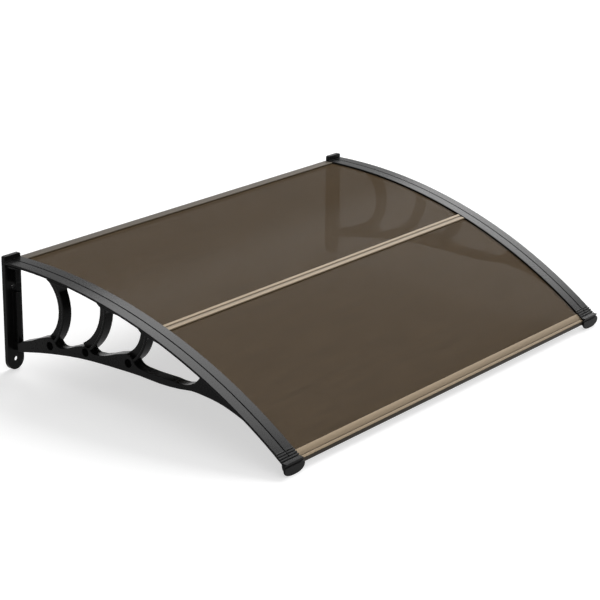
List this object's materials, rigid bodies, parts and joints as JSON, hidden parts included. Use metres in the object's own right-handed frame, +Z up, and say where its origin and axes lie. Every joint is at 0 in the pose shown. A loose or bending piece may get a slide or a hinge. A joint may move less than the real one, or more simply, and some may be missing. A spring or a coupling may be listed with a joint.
{
  "type": "door canopy",
  "caption": "Bowed polycarbonate door canopy: moulded side brackets with crescent braces, bronze twin-wall sheets and champagne aluminium rails.",
  "frame": {"origin": "middle of the width and depth of the whole canopy, at the level of the lowest point of its front noses", "axes": "+Z up, +X to the right along the wall seen from the front, the wall on the +Y side and the front edge on the -Y side"},
  "size_m": [1.21, 0.7828, 0.3011],
  "materials": {
    "bracket_plastic": "fine-grained black moulding",
    "bronze_sheet": "translucent bronze twin-wall sheet",
    "champagne_aluminium": "champagne anodised extrusion",
    "zinc_steel": "zinc plated"
  },
  "bodies": {
    "root": {"bracket_left": "bracket_plastic", "bracket_right": "bracket_plastic", "rear_panel": "bronze_sheet", "front_panel": "bronze_sheet", "rear_rail": "champagne_aluminium", "middle_rail": "champagne_aluminium", "front_rail": "champagne_aluminium", "rear_rail_screw_left": "zinc_steel", "rear_rail_screw_right": "zinc_steel", "middle_rail_screw_left": "zinc_steel", "middle_rail_screw_right": "zinc_steel", "front_rail_screw_left": "zinc_steel", "front_rail_screw_right": "zinc_steel"}
  },
  "joints": []
}
